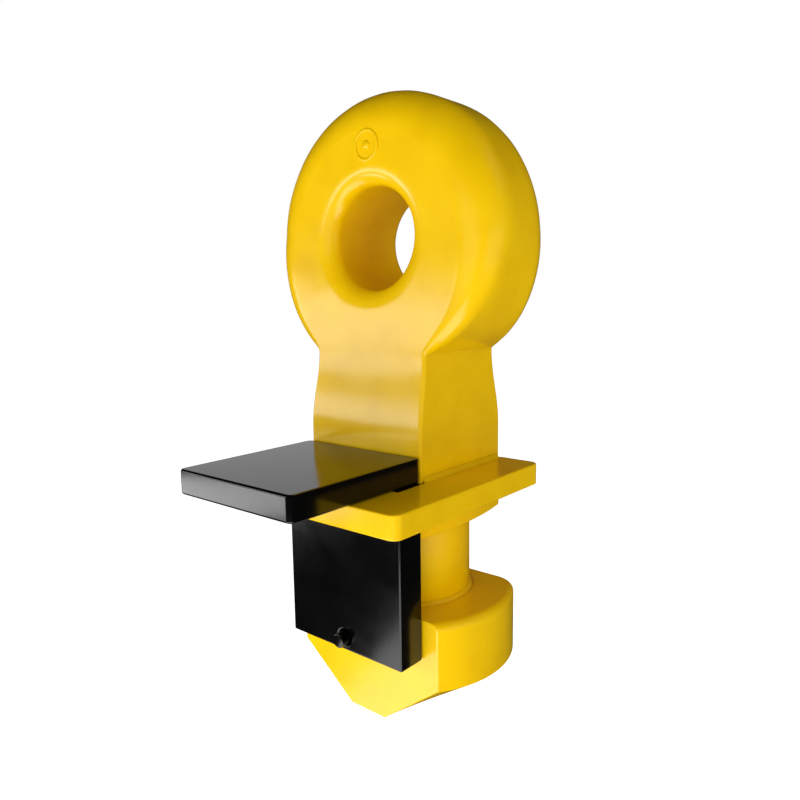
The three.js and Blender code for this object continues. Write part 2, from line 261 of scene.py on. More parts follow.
def makeYellowEnamel(name, paint):
    # two-pack gloss enamel sprayed over shot-blasted steel: it gives the eye a deep even yellow
    # with a wet gloss, faint clouds in its shade, and the orange peel of a thick coat
    material = bpy.data.materials.new(name)
    material.use_nodes = True
    tree = material.node_tree
    tree.nodes.clear()
    place = addNode(tree, "ShaderNodeTexCoord", {}, {}).outputs["Object"]
    clouds = addNode(tree, "ShaderNodeTexNoise", {}, {
        "Vector": place, "Scale": 1 / (paint["cloudSize"] * mm), "Detail": 3.0,
        "Roughness": 0.55})
    shade = addNode(tree, "ShaderNodeValToRGB", {}, {"Fac": clouds.outputs["Fac"]})
    ramp = shade.color_ramp
    ramp.elements[0].position = paint["deepAt"]
    ramp.elements[0].color = linearColour(paint["deep"])
    ramp.elements[1].position = paint["lightAt"]
    ramp.elements[1].color = linearColour(paint["light"])
    ramp.elements.new(paint["bodyAt"]).color = linearColour(paint["body"])
    smears = addNode(tree, "ShaderNodeTexNoise", {}, {
        "Vector": place, "Scale": 1 / (paint["smearSize"] * mm), "Detail": 4.0,
        "Distortion": 0.6})
    rough = addNode(tree, "ShaderNodeMapRange", {}, {
        "Value": smears.outputs["Fac"], "From Min": noiseLow, "From Max": noiseHigh,
        "To Min": paint["roughLow"], "To Max": paint["roughHigh"]})
    grain = addNode(tree, "ShaderNodeTexNoise", {}, {
        "Vector": place, "Scale": 1 / (paint["grainSize"] * mm), "Detail": 2.0})
    blasted = addNode(tree, "ShaderNodeBump", {}, {
        "Height": grain.outputs["Fac"], "Strength": 1.0, "Distance": paint["grainDepth"] * mm})
    peel = addNode(tree, "ShaderNodeTexNoise", {}, {
        "Vector": place, "Scale": 1 / (paint["peelSize"] * mm), "Detail": 1.0})
    orangePeel = addNode(tree, "ShaderNodeBump", {}, {
        "Height": peel.outputs["Fac"], "Strength": 1.0, "Distance": paint["peelDepth"] * mm,
        "Normal": blasted})
    nibs = addNode(tree, "ShaderNodeTexVoronoi", {}, {
        "Vector": place, "Scale": 1 / (paint["nibSize"] * mm), "Randomness": 1.0})
    specks = addNode(tree, "ShaderNodeMapRange", {"interpolation_type": "SMOOTHSTEP"}, {
        "Value": nibs.outputs["Distance"], "From Min": paint["nibEdge"],
        "From Max": paint["nibTop"]})
    dust = addNode(tree, "ShaderNodeBump", {}, {
        "Height": specks, "Strength": 1.0, "Distance": paint["nibDepth"] * mm,
        "Normal": orangePeel})
    shader = addNode(tree, "ShaderNodeBsdfPrincipled", {}, {
        "Base Color": shade.outputs["Color"], "Roughness": rough, "IOR": enamelIor,
        "Normal": dust})
    addNode(tree, "ShaderNodeOutputMaterial", {}, {"Surface": shader})
    return material


blackEnamel = {
    "body": "020202", "worn": "070707", "peelSize": 1.1, "peelDepth": 0.004,
    "smearSize": 18.0, "smearLow": 0.32, "smearHigh": 0.72,  # where handling dulls the gloss
    "roughLow": 0.12, "roughHigh": 0.17,
}


def makeBlackEnamel(name, paint):
    # stoved gloss black enamel on flat bar: it gives the eye a nearly black mirror of the room,
    # broken up by a little orange peel and faint handling smears
    material = bpy.data.materials.new(name)
    material.use_nodes = True
    tree = material.node_tree
    tree.nodes.clear()
    place = addNode(tree, "ShaderNodeTexCoord", {}, {}).outputs["Object"]
    smears = addNode(tree, "ShaderNodeTexNoise", {}, {
        "Vector": place, "Scale": 1 / (paint["smearSize"] * mm), "Detail": 5.0,
        "Roughness": 0.6, "Distortion": 0.8})
    rough = addNode(tree, "ShaderNodeMapRange", {}, {
        "Value": smears.outputs["Fac"], "From Min": paint["smearLow"],
        "From Max": paint["smearHigh"],
        "To Min": paint["roughLow"], "To Max": paint["roughHigh"]})
    shade = addNode(tree, "ShaderNodeMix", {"data_type": "RGBA"}, {
        "Factor": smears.outputs["Fac"],
        "A": linearColour(paint["body"]), "B": linearColour(paint["worn"])})
    peel = addNode(tree, "ShaderNodeTexNoise", {}, {
        "Vector": place, "Scale": 1 / (paint["peelSize"] * mm), "Detail": 1.0})
    orangePeel = addNode(tree, "ShaderNodeBump", {}, {
        "Height": peel.outputs["Fac"], "Strength": 1.0, "Distance": paint["peelDepth"] * mm})
    shader = addNode(tree, "ShaderNodeBsdfPrincipled", {}, {
        "Base Color": shade.outputs["Result"], "Roughness": rough, "IOR": enamelIor,
        "Normal": orangePeel})
    addNode(tree, "ShaderNodeOutputMaterial", {}, {"Surface": shader})
    return material


forgingPaint = makeYellowEnamel("yellowEnamelOnForging", yellowEnamel)
platePaint = makeYellowEnamel("yellowEnamelOnPlate", {**yellowEnamel, "grainDepth": 0.02})
beadPaint = makeYellowEnamel("yellowEnamelOnWeld", {**yellowEnamel, "grainSize": 2.5})
barPaint = makeBlackEnamel("blackEnamelOnBar", blackEnamel)
pinPaint = makeBlackEnamel("blackEnamelOnPin", {**blackEnamel, "smearSize": 5.0})
print("paints made")


eyeSize = {
    "boreRadius": 20.5, "lipWidth": 7.5, "lipDepth": 6.0, "thickness": 46.0, "round": 15.5,
    "neckWidth": 60.0, "neckDepth": 57.0, "neckEdge": 1.5, "footEdge": 0.5,
    "neckStraight": 24.7,  # from the forging's foot up to where the neck starts to taper
    "swellStart": 8.0, "crease": -45.5, "creaseWidth": 58.0, "creaseDepth": 48.5,
    "flareEnd": 95.0, "roundEnd": 94.0,  # degrees from straight down
    "flarePower": 1.6, "roundPower": 0.7,
    "waveSize": 24.0, "waveDepth": 0.16,  # the slow waves of a forged skin
    "markPlace": (0.0, 35.6), "markOuter": 6.3, "markInner": 5.0, "markDot": 1.7,
    "markRise": 0.45, "markSink": 0.6, "markEdge": 0.25, "markSegments": 48,
    "footSteps": 6, "footEdgeSteps": 3, "neckSteps": 36, "headSteps": 110,
    "edgeFade": 4,  # the neck's steps over which the foot's edge becomes the neck's
    "steepest": 0.3,  # limits how far a round reaches where the outline runs along its ray
}


def forgingOutline(size):  # (x, z, rounding) once round, from the middle of the foot
    low, high = boxOf("eye_forging")
    foot = low.z
    radius = high.x
    taperTop = foot + size["neckStraight"]
    half = size["neckWidth"] / 2
    edge = size["footEdge"]
    steps = size["footSteps"]
    rows = [((half - edge) * i / steps, foot, edge) for i in range(steps)]
    corner = arcPoints(half - edge, foot + edge, edge, -90, 0, size["footEdgeSteps"])
    rows += [(x, z, edge) for x, z in corner]
    steps = size["neckSteps"]
    for i in range(1, steps):
        z = mix(foot + edge, size["crease"], i / steps)
        taper = smoothStep(z, taperTop, size["crease"])
        rounding = mix(edge, size["neckEdge"], min(1, i / size["edgeFade"]))
        rows.append((mix(size["neckWidth"], size["creaseWidth"], taper) / 2, z, rounding))
    creaseAngle = math.atan2(size["creaseWidth"] / 2, -size["crease"])
    creaseReach = math.hypot(size["creaseWidth"] / 2, size["crease"])
    flareEnd = math.radians(size["flareEnd"])
    roundEnd = math.radians(size["roundEnd"])
    steps = size["headSteps"]
    for i in range(steps + 1):
        angle = mix(creaseAngle, math.pi, i / steps)
        flare = max(0, (flareEnd - angle) / (flareEnd - creaseAngle))
        reach = radius - (radius - creaseReach) * flare ** size["flarePower"]
        fullness = min(1, (angle - creaseAngle) / (roundEnd - creaseAngle)) ** size["roundPower"]
        rounding = mix(size["neckEdge"], size["round"], fullness)
        rows.append((reach * math.sin(angle), -reach * math.cos(angle), rounding))
    return rows + [(-x, z, rounding) for x, z, rounding in rows[-2::-1]]


def forgingSection():  # front lip, front face, round, band, back the same way, then the bore
    along, depth = [], []  # (reach, rounding, lip) and (side, rounding, lip) shares
    lipSteps, faceSteps, roundSteps, bandSteps = 8, 22, 10, 8
    for i in range(lipSteps + 1):
        turn = math.pi / 2 * i / lipSteps
        along.append((0, 0, 1 - math.cos(turn)))
        depth.append((-1, 0, 1 - math.sin(turn)))
    for i in range(1, faceSteps):
        share = i / faceSteps
        along.append((share, share, 1 - share))
        depth.append((-1, 0, 0))
    for i in range(roundSteps + 1):
        turn = math.pi / 2 * i / roundSteps
        along.append((1, 1 - math.sin(turn), 0))
        depth.append((-1, 1 - math.cos(turn), 0))
    front = list(zip(along, depth))
    for i in range(1, bandSteps):
        along.append((1, 0, 0))
        depth.append((mix(-1, 1, i / bandSteps), 1, 0))
    for alongRule, depthRule in front[::-1]:
        along.append(alongRule)
        depth.append((1, depthRule[1], depthRule[2]))
    for i in range(1, bandSteps + 1):
        along.append((0, 0, 0))
        depth.append((mix(1, -1, i / bandSteps), 0, 1))
    return along, depth


def sweepNodes(tree, path, section, pathRules, sectionRules):
    # a grid with a row for each point of the path and a column for each of the section, and
    # the values that the two carry, read for each of the grid's points
    pathCount = addNode(tree, "GeometryNodeAttributeDomainSize", {}, {"Geometry": path})
    info = addNode(tree, "GeometryNodeObjectInfo", {}, {"Object": section})
    profile = info.outputs["Geometry"]
    profileCount = addNode(tree, "GeometryNodeAttributeDomainSize", {}, {"Geometry": profile})
    across = profileCount.outputs["Point Count"]
    grid = addNode(tree, "GeometryNodeMeshGrid", {}, {
        "Vertices X": pathCount.outputs["Point Count"], "Vertices Y": across})
    index = addNode(tree, "GeometryNodeInputIndex", {}, {})
    share = addNode(tree, "ShaderNodeMath", {"operation": "DIVIDE"}, {0: index, 1: across})
    row = addNode(tree, "ShaderNodeMath", {"operation": "FLOOR"}, {0: share})
    column = addNode(tree, "ShaderNodeMath", {"operation": "MODULO"}, {0: index, 1: across})
    read = []
    for source, at, rules in ((path, row, pathRules), (profile, column, sectionRules)):
        for rule, kind in rules.items():
            if rule == "position":
                value = addNode(tree, "GeometryNodeInputPosition", {}, {})
            else:
                value = addNode(tree, "GeometryNodeInputNamedAttribute", {"data_type": kind},
                                {"Name": rule})
            read.append(addNode(tree, "GeometryNodeSampleIndex", {"data_type": kind}, {
                "Geometry": source, "Value": value, "Index": at}))
    return grid, read


def forgingTree():
    tree = newTree("sweptForging", {
        "Section": ("NodeSocketObject", None),
        "Bore Radius": ("NodeSocketFloat", 0.02), "Lip Width": ("NodeSocketFloat", 0.007),
        "Lip Depth": ("NodeSocketFloat", 0.006), "Half Thickness": ("NodeSocketFloat", 0.023),
        "Crease Half": ("NodeSocketFloat", 0.024), "Neck Half": ("NodeSocketFloat", 0.028),
        "Swell Start": ("NodeSocketFloat", -0.02), "Crease Height": ("NodeSocketFloat", -0.045),
        "Taper Foot": ("NodeSocketFloat", -0.078), "Wave Size": ("NodeSocketFloat", 0.024),
        "Wave Depth": ("NodeSocketFloat", 0.0001), "Paint": ("NodeSocketMaterial", None)})
    given = addNode(tree, "NodeGroupInput", {}, {}).outputs
    grid, read = sweepNodes(
        tree, given["Geometry"], given["Section"],
        {"position": "FLOAT_VECTOR", "roundWidth": "FLOAT", "roundDepth": "FLOAT"},
        {"alongRule": "FLOAT_VECTOR", "depthRule": "FLOAT_VECTOR"})
    rim, roundWidth, roundDepth, alongRule, depthRule = read
    ray = addNode(tree, "ShaderNodeVectorMath", {"operation": "NORMALIZE"}, {0: rim})
    reach = addNode(tree, "ShaderNodeVectorMath", {"operation": "LENGTH"}, {0: rim})
    band = addNode(tree, "ShaderNodeMath", {"operation": "SUBTRACT"}, {
        0: reach.outputs["Value"], 1: given["Bore Radius"]})
    inward = addNode(tree, "ShaderNodeMath", {"operation": "MULTIPLY"}, {0: roundWidth, 1: -1.0})
    parts = addNode(tree, "ShaderNodeCombineXYZ", {}, {
        "X": band, "Y": inward, "Z": given["Lip Width"]})
    beyondBore = addNode(tree, "ShaderNodeVectorMath", {"operation": "DOT_PRODUCT"}, {
        0: alongRule, 1: parts})
    distance = addNode(tree, "ShaderNodeMath", {"operation": "ADD"}, {
        0: beyondBore.outputs["Value"], 1: given["Bore Radius"]})
    plan = addNode(tree, "ShaderNodeVectorMath", {"operation": "SCALE"}, {
        0: ray, "Scale": distance})
    height = addNode(tree, "ShaderNodeSeparateXYZ", {}, {"Vector": plan})
    swell = addNode(tree, "ShaderNodeMapRange", {"interpolation_type": "SMOOTHSTEP"}, {
        "Value": height.outputs["Z"], "From Min": given["Swell Start"],
        "From Max": given["Crease Height"], "To Min": given["Half Thickness"],
        "To Max": given["Crease Half"]})
    growth = addNode(tree, "ShaderNodeMath", {"operation": "SUBTRACT"}, {
        0: given["Neck Half"], 1: given["Crease Half"]})
    taper = addNode(tree, "ShaderNodeMapRange", {"interpolation_type": "SMOOTHSTEP"}, {
        "Value": height.outputs["Z"], "From Min": given["Crease Height"],
        "From Max": given["Taper Foot"], "To Min": 0.0, "To Max": growth})
    half = addNode(tree, "ShaderNodeMath", {"operation": "ADD"}, {0: swell, 1: taper})
    side = addNode(tree, "ShaderNodeSeparateXYZ", {}, {"Vector": depthRule})
    edges = addNode(tree, "ShaderNodeCombineXYZ", {}, {
        "Y": roundDepth, "Z": given["Lip Depth"]})
    drop = addNode(tree, "ShaderNodeVectorMath", {"operation": "DOT_PRODUCT"}, {
        0: depthRule, 1: edges})
    level = addNode(tree, "ShaderNodeMath", {"operation": "SUBTRACT"}, {
        0: half, 1: drop.outputs["Value"]})
    across = addNode(tree, "ShaderNodeMath", {"operation": "MULTIPLY"}, {
        0: level, 1: side.outputs["X"]})
    face = addNode(tree, "ShaderNodeCombineXYZ", {}, {"Y": across})
    point = addNode(tree, "ShaderNodeVectorMath", {"operation": "ADD"}, {0: plan, 1: face})
    shaped = addNode(tree, "GeometryNodeSetPosition", {}, {
        "Geometry": grid.outputs["Mesh"], "Position": point})
    closed = addNode(tree, "GeometryNodeMergeByDistance", {}, {
        "Geometry": shaped, "Distance": mergeGap * mm})
    pitch = addNode(tree, "ShaderNodeMath", {"operation": "DIVIDE"}, {
        0: 1.0, 1: given["Wave Size"]})
    waves = addNode(tree, "ShaderNodeTexNoise", {}, {
        "Vector": addNode(tree, "GeometryNodeInputPosition", {}, {}), "Scale": pitch,
        "Detail": 1.0})
    sunk = addNode(tree, "ShaderNodeMapRange", {}, {
        "Value": waves.outputs["Fac"], "From Min": noiseLow, "From Max": noiseHigh,
        "To Min": 0.0, "To Max": 1.0})  # the grid's faces still look inwards, so the waves sink
    waveDrop = addNode(tree, "ShaderNodeMath", {"operation": "MULTIPLY"}, {
        0: sunk, 1: given["Wave Depth"]})
    offset = addNode(tree, "ShaderNodeVectorMath", {"operation": "SCALE"}, {
        0: addNode(tree, "GeometryNodeInputNormal", {}, {}), "Scale": waveDrop})
    waved = addNode(tree, "GeometryNodeSetPosition", {}, {"Geometry": closed, "Offset": offset})
    smooth = addNode(tree, "GeometryNodeSetShadeSmooth", {}, {"Geometry": waved})
    real = addNode(tree, "GeometryNodeRealizeInstances", {}, {"Geometry": smooth})
    painted = addNode(tree, "GeometryNodeSetMaterial", {}, {
        "Geometry": real, "Material": given["Paint"]})
    addNode(tree, "NodeGroupOutput", {}, {"Geometry": painted})
    return tree


def forgingMark(size):  # a plain raised ring and dot on the front face
    rise, sink, edge = size["markRise"], size["markSink"], size["markEdge"]
    outer, inner, dot = size["markOuter"], size["markInner"], size["markDot"]
    face = -size["thickness"] / 2
    ring = [(inner, -sink), (outer, -sink), (outer, rise - edge), (outer - edge, rise),
            (inner + edge, rise), (inner, rise - edge), (inner, -sink)]
    stud = [(0, -sink), (dot, -sink), (dot, rise - edge), (dot - edge, rise), (0, rise)]
    marks = []
    for profile in (ring, stud):
        mesh = laidForward(turned("mark", profile, size["markSegments"]), *size["markPlace"])
        mesh.transform(Matrix.Translation((0, face * mm, 0)))
        marks.append(mesh)
    return marks


def makeEyeForging(size):
    outline = forgingOutline(size)
    count = len(outline)
    widths = []
    for i, (x, z, rounding) in enumerate(outline):
        before, after = outline[(i - 1) % count], outline[(i + 1) % count]
        if i in (0, count - 1):
            before, after = outline[-2], outline[1]
        run = Vector((after[0] - before[0], after[1] - before[1])).normalized()
        slant = abs(run.y * x - run.x * z) / math.hypot(x, z)  # outline's normal on the ray
        widths.append(rounding / max(slant, size["steepest"]) * mm)
    path = pointCloud("eyeForging", [(x, 0, z) for x, z, rounding in outline], {
        "roundWidth": widths, "roundDepth": [rounding * mm for x, z, rounding in outline]})
    along, depth = forgingSection()
    section = pointCloud("forgingSection", [(0, 0, 0)] * len(along), {
        "alongRule": along, "depthRule": depth})
    foot = boxOf("eye_forging")[0].z
    runTree(path, forgingTree(), {
        "Section": section, "Paint": forgingPaint,
        "Bore Radius": size["boreRadius"] * mm, "Lip Width": size["lipWidth"] * mm,
        "Lip Depth": size["lipDepth"] * mm, "Half Thickness": size["thickness"] / 2 * mm,
        "Crease Half": size["creaseDepth"] / 2 * mm, "Neck Half": size["neckDepth"] / 2 * mm,
        "Swell Start": size["swellStart"] * mm,
        "Crease Height": size["crease"] * mm, "Taper Foot": (foot + size["neckStraight"]) * mm,
        "Wave Size": size["waveSize"] * mm, "Wave Depth": size["waveDepth"] * mm})
    bpy.data.objects.remove(section)
    closeUp(path.data)
    addShells(path.data, forgingMark(size))
    path.data.materials.clear()
    path.data.materials.append(forgingPaint)
    evenShading(path)
    settle(path)
    join(path, "lug", "eye_forging")


makeEyeForging(eyeSize)
print("eye forging made")


flangeSize = {
    "corner": 4.0, "cornerSteps": 8, "edge": 0.8,
    "notchHalf": 30.3, "notchFront": -27.5,  # the notch round the neck, open at the back
    "slotSide": 1.0, "slotFront": 2.2,  # room round the tongue
}


def makeFlangePlate(size):
    low, high = boxOf("flange_plate")
    tongueLow, tongueHigh = boxOf("lock_tongue")
    notch, notchFront = size["notchHalf"], size["notchFront"]
    slot = tongueHigh.x + size["slotSide"]
    slotFront = tongueLow.y - size["slotFront"]
    corner, steps = size["corner"], size["cornerSteps"]
    outline = arcPoints(low.x + corner, low.y + corner, corner, 180, 270, steps)
    outline += arcPoints(high.x - corner, low.y + corner, corner, 270, 360, steps)
    outline += arcPoints(high.x - corner, high.y - corner, corner, 0, 90, steps)
    outline += [(notch, high.y), (notch, notchFront), (slot, notchFront), (slot, slotFront)]
    outline += [(-slot, slotFront), (-slot, notchFront), (-notch, notchFront), (-notch, high.y)]
    outline += arcPoints(low.x + corner, high.y - corner, corner, 90, 180, steps)
    plate = pieceFrom("flangePlate", prism("flangePlate", outline, low.z, high.z), platePaint)
    softenEdges(plate, size["edge"])
    evenShading(plate)
    settle(plate)
    join(plate, "lug", "flange_plate")


blockSize = {"bow": 150.0, "frontCorner": 3.0, "backCorner": 6.0, "edge": 0.8,
             "frontSteps": 6, "bowSteps": 20, "backSteps": 8}


def makeLocatingBlock(size):
    low, high = boxOf("locating_block")
    bow, front, back = size["bow"], size["frontCorner"], size["backCorner"]
    bowCentre = high.x - bow
    start = math.asin((low.y + front) / bow)
    end = math.asin((high.y - back) / bow)
    frontX = bowCentre + bow * math.cos(start) - front
    backX = bowCentre + bow * math.cos(end) - back
    right = arcPoints(frontX, low.y + front, front, -90, 0, size["frontSteps"])[:-1]
    right += arcPoints(bowCentre, 0, bow, math.degrees(start), math.degrees(end),
                       size["bowSteps"])
    right += arcPoints(backX, high.y - back, back, 0, 90, size["backSteps"])[1:]
    outline = right + [(-x, y) for x, y in right[::-1]]
    block = pieceFrom("locatingBlock", prism("locatingBlock", outline, low.z, high.z), platePaint)
    softenEdges(block, size["edge"])
    evenShading(block)
    settle(block)
    join(block, "lug", "locating_block")


shankSize = {"radius": 27.5, "spigot": 8.0, "spigotRadius": 16.0, "seatGap": 0.3,
             "segments": 128}


def makeShank(size):
    top = boxOf("locating_block")[0].z - size["seatGap"]
    foot = boxOf("shank_weld")[0].z
    spigot = size["spigotRadius"]
    profile = [
        (0, foot - size["spigot"]), (spigot, foot - size["spigot"]), (spigot, foot),
        (size["radius"], foot), (size["radius"], top), (spigot, top),
        (spigot, top + size["spigot"]), (0, top + size["spigot"])]
    bar = pieceFrom("shankBar", turned("shankBar", profile, size["segments"]), forgingPaint)
    evenShading(bar)
    settle(bar)
    join(bar, "lug", "shank")


headSize = {
    "radius": 47.0, "crown": 3.0, "side": 28.0, "tipWidth": 19.0,
    "frontCorner": 1.2, "backCorner": 7.0, "seatRadius": 29.6, "seatDepth": 0.5, "edge": 0.9,
    "crownSteps": 6, "frontSteps": 5, "sideSteps": 36, "backSteps": 10, "seatSegments": 96,
    "smoothAngle": 34, "cutterTop": 5.0,
}


def headPlan(radius, size, halfDepth):  # round sides between a flat front and a flat back
    front, back = size["frontCorner"], size["backCorner"]
    frontY, backY = halfDepth - front, halfDepth - back
    frontX = math.sqrt((radius - front) ** 2 - frontY ** 2)
    backX = math.sqrt((radius - back) ** 2 - backY ** 2)
    frontTurn = math.degrees(math.atan2(frontY, frontX))
    backTurn = math.degrees(math.atan2(backY, backX))
    right = arcPoints(frontX, -frontY, front, -90, -frontTurn, size["frontSteps"])
    right += arcPoints(0, 0, radius, -frontTurn, backTurn, size["sideSteps"])[1:-1]
    right += arcPoints(backX, backY, back, backTurn, 90, size["backSteps"])
    return right + [(-x, y) for x, y in right[::-1]]


def makeHammerhead(size):
    low, high = boxOf("hammerhead")
    radius, crown = size["radius"], size["crown"]
    sideFoot = high.z - size["side"]
    flatHalf = math.sqrt(radius ** 2 - high.y ** 2)
    tipShare = size["tipWidth"] / 2 / flatHalf
    levels = [(radius, tipShare, low.z), (radius, 1, sideFoot)]  # radius, width share, height
    for inset, z in arcPoints(-crown, high.z - crown, crown, 0, 90, size["crownSteps"]):
        levels.append((radius + inset, 1, z))
    points = []
    for levelRadius, share, z in levels:
        points += [(x * share, y, z) for x, y in headPlan(levelRadius, size, high.y)]
    count = len(headPlan(radius, size, high.y))
    faces = [list(range(count))[::-1], list(range(count * (len(levels) - 1), len(points)))]
    for i in range(len(levels) - 1):
        for k in range(count):
            n = (k + 1) % count
            faces.append([i * count + k, i * count + n, (i + 1) * count + n, (i + 1) * count + k])
    head = pieceFrom("hammerHead", closeUp(meshFrom("hammerHead", points, faces)), forgingPaint)
    softenEdges(head, size["edge"], size["smoothAngle"])
    seat = size["seatRadius"]
    seatFoot, above = high.z - size["seatDepth"], high.z + size["cutterTop"]
    disc = turned("seatCutter", [(0, seatFoot), (seat, seatFoot), (seat, above), (0, above)],
                  size["seatSegments"])
    cutWith(head, [pieceFrom("seatCutter", disc)])
    evenShading(head)
    settle(head)
    join(head, "lug", "hammerhead")


makeFlangePlate(flangeSize)
makeLocatingBlock(blockSize)
makeShank(shankSize)
makeHammerhead(headSize)
print("flange, block, shank and head made")


beadSize = {
    "gap": 0.3,  # the root lies this far inside the faces it joins
    "hollow": 0.42, "faceSteps": 8, "step": 0.20, "endBlend": 1.6,
    "ripplePitch": 1.3, "rippleShare": 0.05, "rippleArch": 0.45, "ripplePower": 2.0,
    "wander": 0.10, "driftRate": 180.0,  # turns of the slow drift in size, per metre of bead
    "rightSeed": 0, "leftSeed": 7, "shankSeed": 41, "lockSeed": 57,
}


def beadTree():
    tree = newTree("weldBead", {
        "Section": ("NodeSocketObject", None), "Ripple Pitch": ("NodeSocketFloat", 0.002),
        "Ripple Share": ("NodeSocketFloat", 0.1), "Ripple Arch": ("NodeSocketFloat", 0.45),
        "Ripple Power": ("NodeSocketFloat", 2.0), "Wander": ("NodeSocketFloat", 0.1),
        "Drift Rate": ("NodeSocketFloat", 180.0), "Seed": ("NodeSocketFloat", 3.0),
        "Paint": ("NodeSocketMaterial", None)})
    given = addNode(tree, "NodeGroupInput", {}, {}).outputs
    grid, read = sweepNodes(
        tree, given["Geometry"], given["Section"],
        {"position": "FLOAT_VECTOR", "outward": "FLOAT_VECTOR", "upward": "FLOAT_VECTOR",
         "travel": "FLOAT", "fade": "FLOAT"},
        {"position": "FLOAT_VECTOR", "arch": "FLOAT"})
    root, outward, upward, travel, fade, form, arch = read
    formParts = addNode(tree, "ShaderNodeSeparateXYZ", {}, {"Vector": form})
    archHeight = addNode(tree, "ShaderNodeMath", {"operation": "MULTIPLY"}, {
        0: given["Ripple Pitch"], 1: given["Ripple Arch"]})
    bent = addNode(tree, "ShaderNodeMath", {"operation": "MULTIPLY_ADD"}, {
        0: arch, 1: archHeight, 2: travel})
    turns = addNode(tree, "ShaderNodeMath", {"operation": "DIVIDE"}, {
        0: bent, 1: given["Ripple Pitch"]})
    phase = addNode(tree, "ShaderNodeMath", {"operation": "FRACT"}, {0: turns})
    scallop = addNode(tree, "ShaderNodeMath", {"operation": "POWER"}, {
        0: phase, 1: given["Ripple Power"]})
    ripple = addNode(tree, "ShaderNodeMath", {"operation": "MULTIPLY"}, {
        0: scallop, 1: given["Ripple Share"]})
    driftAt = addNode(tree, "ShaderNodeMath", {"operation": "MULTIPLY_ADD"}, {
        0: travel, 1: given["Drift Rate"], 2: given["Seed"]})
    drift = addNode(tree, "ShaderNodeTexNoise", {"noise_dimensions": "1D"}, {
        "W": driftAt, "Scale": 1.0, "Detail": 2.0})
    wander = addNode(tree, "ShaderNodeMath", {"operation": "MULTIPLY"}, {
        0: drift.outputs["Fac"], 1: given["Wander"]})
    loss = addNode(tree, "ShaderNodeMath", {"operation": "ADD"}, {0: ripple, 1: wander})
    kept = addNode(tree, "ShaderNodeMath", {"operation": "SUBTRACT"}, {0: 1.0, 1: loss})
    size = addNode(tree, "ShaderNodeMath", {"operation": "MULTIPLY"}, {0: kept, 1: fade})
    outDistance = addNode(tree, "ShaderNodeMath", {"operation": "MULTIPLY"}, {
        0: formParts.outputs["X"], 1: size})
    upDistance = addNode(tree, "ShaderNodeMath", {"operation": "MULTIPLY"}, {
        0: formParts.outputs["Y"], 1: size})
    outStep = addNode(tree, "ShaderNodeVectorMath", {"operation": "SCALE"}, {
        0: outward, "Scale": outDistance})
    upStep = addNode(tree, "ShaderNodeVectorMath", {"operation": "SCALE"}, {
        0: upward, "Scale": upDistance})
    placed = addNode(tree, "ShaderNodeVectorMath", {"operation": "ADD"}, {0: root, 1: outStep})
    point = addNode(tree, "ShaderNodeVectorMath", {"operation": "ADD"}, {0: placed, 1: upStep})
    shaped = addNode(tree, "GeometryNodeSetPosition", {}, {
        "Geometry": grid.outputs["Mesh"], "Position": point})
    closed = addNode(tree, "GeometryNodeMergeByDistance", {}, {
        "Geometry": shaped, "Distance": 2 * mergeGap * mm})
    smooth = addNode(tree, "GeometryNodeSetShadeSmooth", {}, {"Geometry": closed})
    real = addNode(tree, "GeometryNodeRealizeInstances", {}, {"Geometry": smooth})
    painted = addNode(tree, "GeometryNodeSetMaterial", {}, {
        "Geometry": real, "Material": given["Paint"]})
    addNode(tree, "NodeGroupOutput", {}, {"Geometry": painted})
    return tree


weldTree = beadTree()


def beadSection(leg, hollow):  # the corner, then the dished face from one leg to the other
    points, arch = [(0, 0, 0)], [0.0]
    steps = beadSize["faceSteps"]
    for i in range(steps + 1):
        t = i / steps
        x = (1 - t) ** 2 * leg + 2 * t * (1 - t) * leg * hollow
        y = t ** 2 * leg + 2 * t * (1 - t) * leg * hollow
        points.append((x, y, 0))
        arch.append(math.sin(math.pi * t))
    points.append((0, 0, 0))
    arch.append(0.0)
    return pointCloud("beadSection", points, {"arch": arch})


def makeBead(name, leg, route, seed, paint):
    # route: (point, outward, upward, travelled, fade) along the root of the bead
    path = pointCloud(name, [r[0] for r in route], {
        "outward": [r[1] for r in route], "upward": [r[2] for r in route],
        "travel": [r[3] * mm for r in route], "fade": [r[4] for r in route]})
    section = beadSection(leg, beadSize["hollow"])
    runTree(path, weldTree, {
        "Section": section, "Paint": paint, "Seed": float(seed),
        "Ripple Pitch": beadSize["ripplePitch"] * mm, "Ripple Share": beadSize["rippleShare"],
        "Ripple Arch": beadSize["rippleArch"], "Ripple Power": beadSize["ripplePower"],
        "Wander": beadSize["wander"], "Drift Rate": beadSize["driftRate"]})
    bpy.data.objects.remove(section)
    closeUp(path.data)
    return path


def straightRoute(start, end, outward, upward):
    length = (end - start).length
    count = round(length / beadSize["step"])
    blend = beadSize["endBlend"]
    route = []
    for i in range(count + 1):
        gone = length * i / count
        near = min(gone, length - gone)
        fade = math.sqrt(max(0.0, 1 - max(0.0, 1 - near / blend) ** 2))
        route.append((start.lerp(end, i / count), outward, upward, gone, fade))
    return route


def makeNeckBeads():
    gap = beadSize["gap"]
    beads = [("neckBeadRight", "neck_weld_right", 1, beadSize["rightSeed"]),
             ("neckBeadLeft", "neck_weld_left", -1, beadSize["leftSeed"])]
    for name, node, side, seed in beads:
        low, high = boxOf(node)
        x = (low.x if side > 0 else high.x) - side * gap
        z = low.z - gap
        route = straightRoute(Vector((x, low.y, z)), Vector((x, high.y, z)),
                              (side, 0, 0), (0, 0, 1))
        bead = makeBead(name, high.x - low.x + gap, route, seed, beadPaint)
        join(bead, "lug", node)


